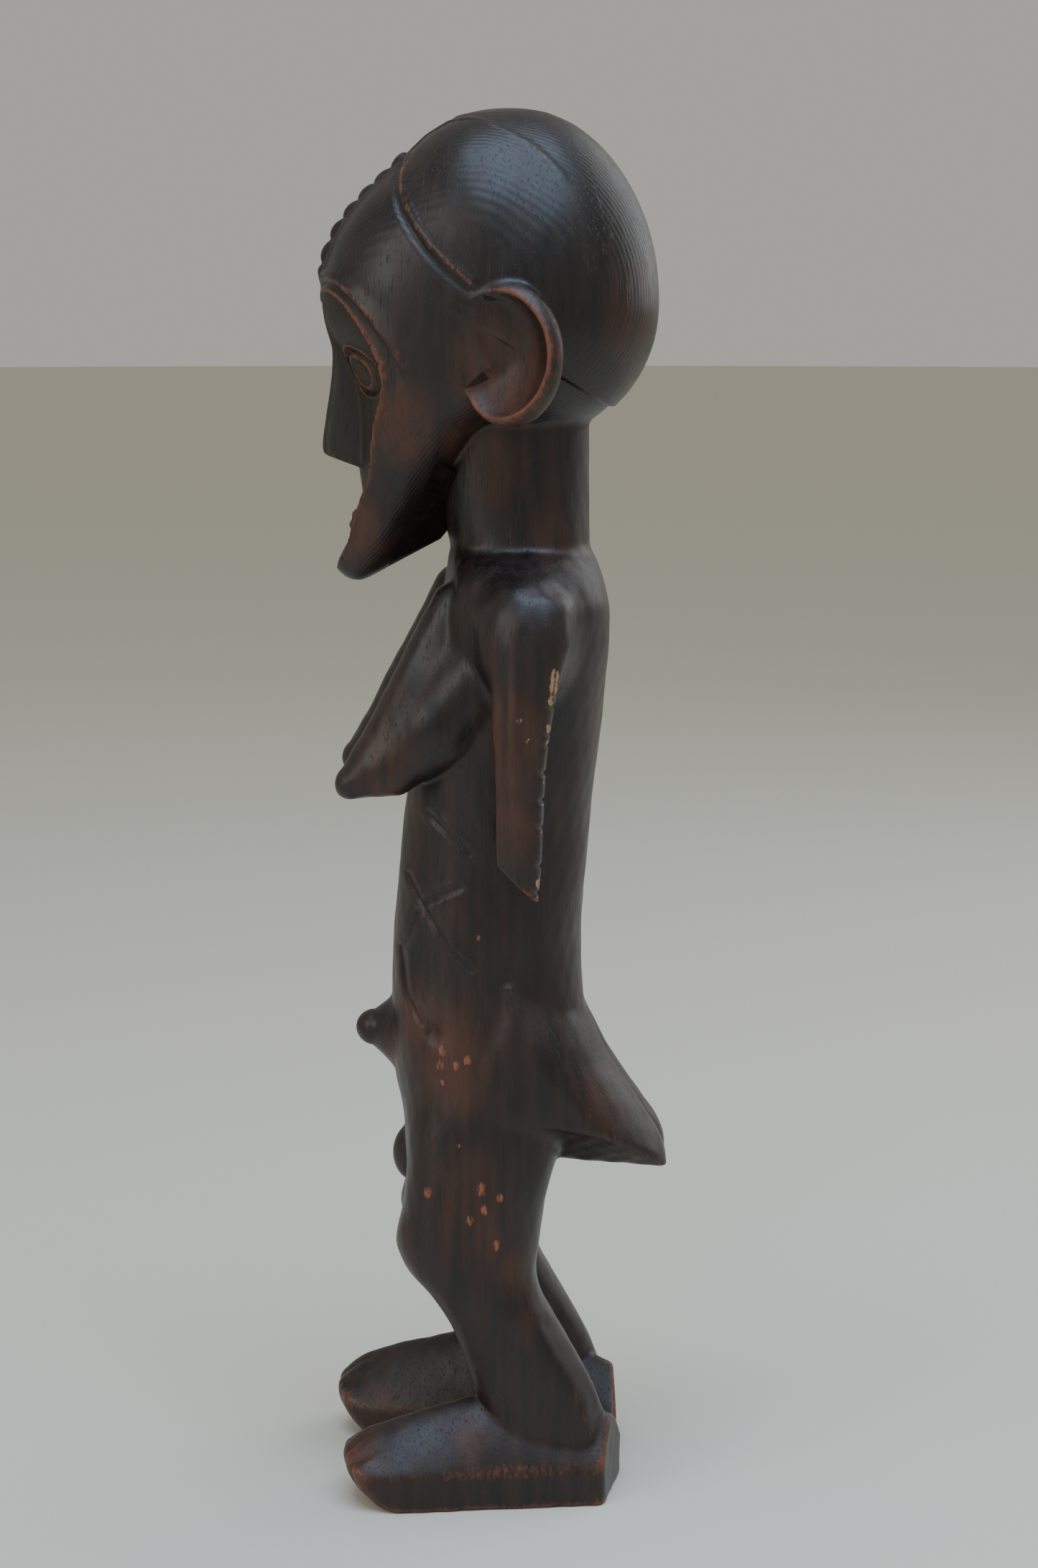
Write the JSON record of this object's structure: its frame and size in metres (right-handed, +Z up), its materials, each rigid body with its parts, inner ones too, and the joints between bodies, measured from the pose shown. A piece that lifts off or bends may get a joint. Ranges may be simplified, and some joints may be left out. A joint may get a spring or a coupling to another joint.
{
  "type": "carved standing figure",
  "caption": "Standing female figure carved in dark wood, with a domed coiffure, cupped ears, a heart-shaped face, hanging arms and broad flat feet.",
  "frame": {"origin": "on the surface it stands on, under the middle of the figure's box: level with the soles, midway between the sides and midway between brow and buttocks", "axes": "+Z up through the crown, -Y the way the figure faces, +X to the figure's own left"},
  "size_m": [0.082, 0.0872, 0.35],
  "materials": {
    "body_wood": "dark brown-black patina, rubbed to a soft shine, with reddish-brown wear on raised edges",
    "hair_wood": "near-black patina, semi-gloss, with fine grain and brown wear along the hairline rim",
    "face_wood": "dull olive-brown, handled smooth on the nose, reddish on the edges",
    "ear_wood": "reddish brown where the cup and its edge are worn, dark in the recess"
  },
  "bodies": {
    "root": {"hair_dome": "hair_wood", "hairline_rim": "hair_wood", "face": "face_wood", "nose": "face_wood", "mouth": "face_wood", "left_eye": "face_wood", "right_eye": "face_wood", "left_ear": "ear_wood", "right_ear": "ear_wood", "skull": "body_wood", "forehead_crest": "body_wood", "neck": "body_wood", "chest": "body_wood", "left_breast": "body_wood", "right_breast": "body_wood", "left_arm": "body_wood", "right_arm": "body_wood", "abdomen": "body_wood", "navel": "body_wood", "hips": "body_wood", "left_buttock": "body_wood", "right_buttock": "body_wood", "pubic_boss": "body_wood", "left_thigh": "body_wood", "right_thigh": "body_wood", "left_shin": "body_wood", "right_shin": "body_wood", "left_foot": "body_wood", "right_foot": "body_wood"}
  },
  "joints": []
}
